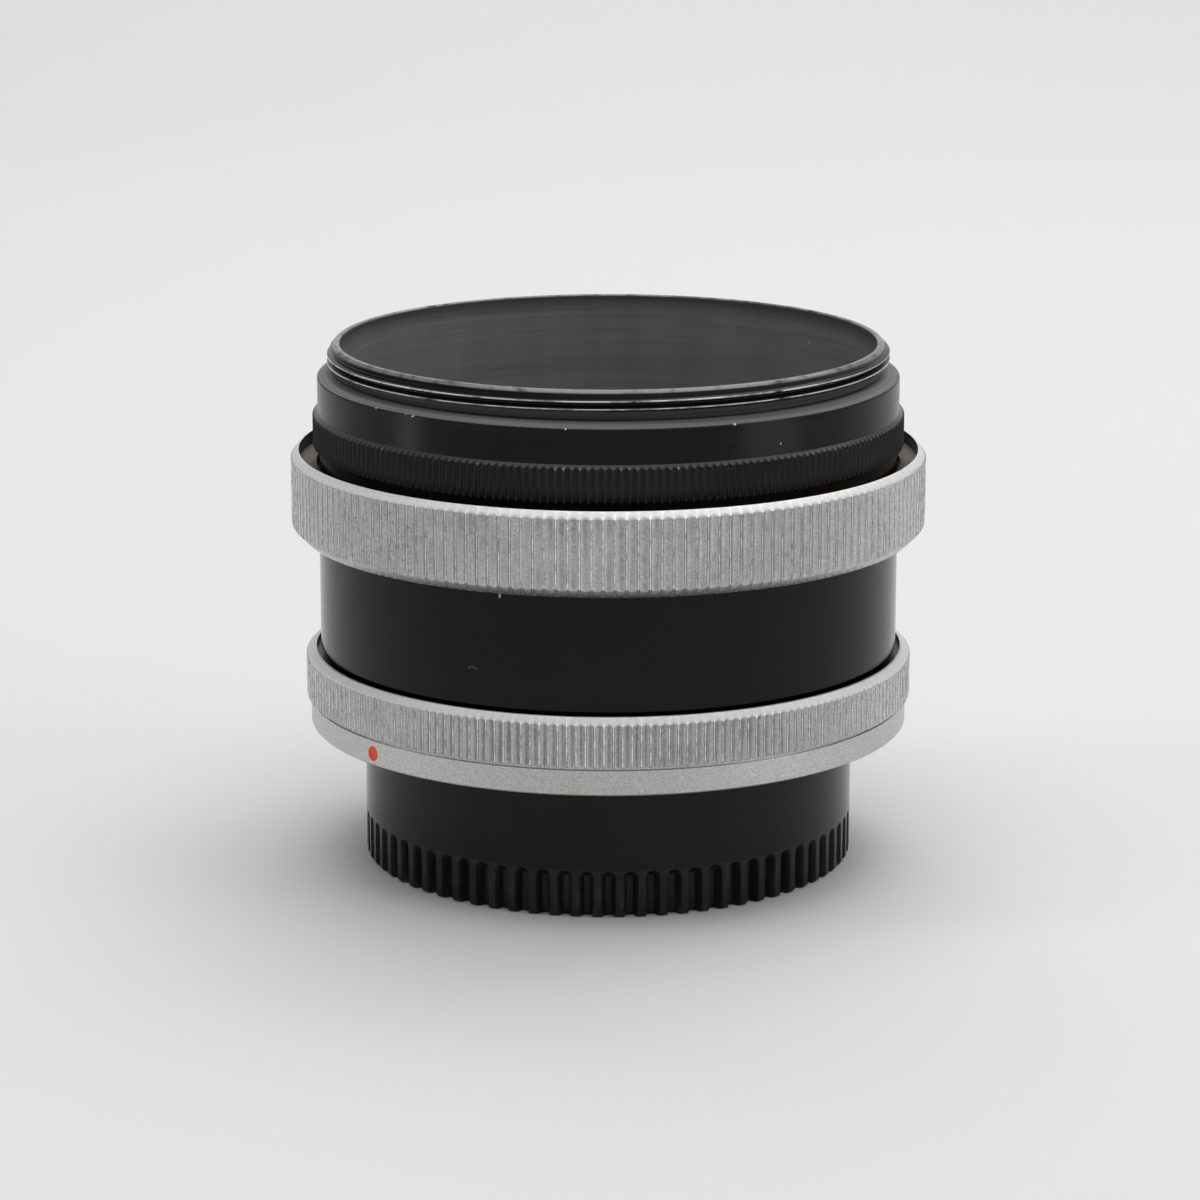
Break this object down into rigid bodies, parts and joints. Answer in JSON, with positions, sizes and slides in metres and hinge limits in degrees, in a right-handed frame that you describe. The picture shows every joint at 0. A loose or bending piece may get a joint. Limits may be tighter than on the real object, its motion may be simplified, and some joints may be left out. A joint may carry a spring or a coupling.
{
  "type": "macro coupler on an extension tube",
  "caption": "Lens coupling: a black coupler with a male filter thread, locked by knurled silver rings on an extension tube with a ribbed rear cap.",
  "frame": {"origin": "middle of the rear cap's underside, on which the part stands", "axes": "+Z along the optical axis, from the rear cap to the filter thread; -Y towards the viewer of the picture"},
  "size_m": [0.0658, 0.0658, 0.0543],
  "materials": {
    "black_anodised": "satin",
    "satin_chrome": "satin",
    "bright_chrome": "polished",
    "bronze": "satin",
    "steel": "satin",
    "matt_black": "matte",
    "red_paint": "gloss",
    "cap_plastic": "gloss"
  },
  "bodies": {
    "tube": {"tube_barrel": "black_anodised", "front_bayonet": "bright_chrome", "front_bayonet_screws": "steel", "tube_baffle": "matt_black", "baffle_snap_ring": "steel", "rear_slip_washer": "bronze", "rear_seat_ring": "bright_chrome", "rear_seat_screws": "steel", "rear_locating_pin": "steel", "rear_stop_pin": "steel", "coupler_body": "black_anodised", "front_slip_washer": "bronze", "coupler_seat_ring": "bright_chrome", "coupler_seat_screws": "steel", "coupler_locating_pin": "steel", "front_stop_pin": "steel"},
    "front_ring": {"front_lock_ring": "satin_chrome"},
    "rear_ring": {"rear_lock_ring": "satin_chrome", "index_dot": "red_paint"},
    "cap": {"rear_cap": "cap_plastic"}
  },
  "joints": [
    {"name": "front_ring_turn", "type": "hinge", "parent": "tube", "child": "front_ring", "pos_m": [0, 0, 0.0388], "axis": [0, 0, 1], "range_deg": [0, 60]},
    {"name": "rear_ring_turn", "type": "hinge", "parent": "tube", "child": "rear_ring", "pos_m": [0, 0, 0.0183], "axis": [0, 0, 1], "range_deg": [0, 60]},
    {"name": "cap_twist", "type": "hinge", "parent": "tube", "child": "cap", "pos_m": [0, 0, 0.0097], "axis": [0, 0, -1], "range_deg": [0, 60]}
  ]
}
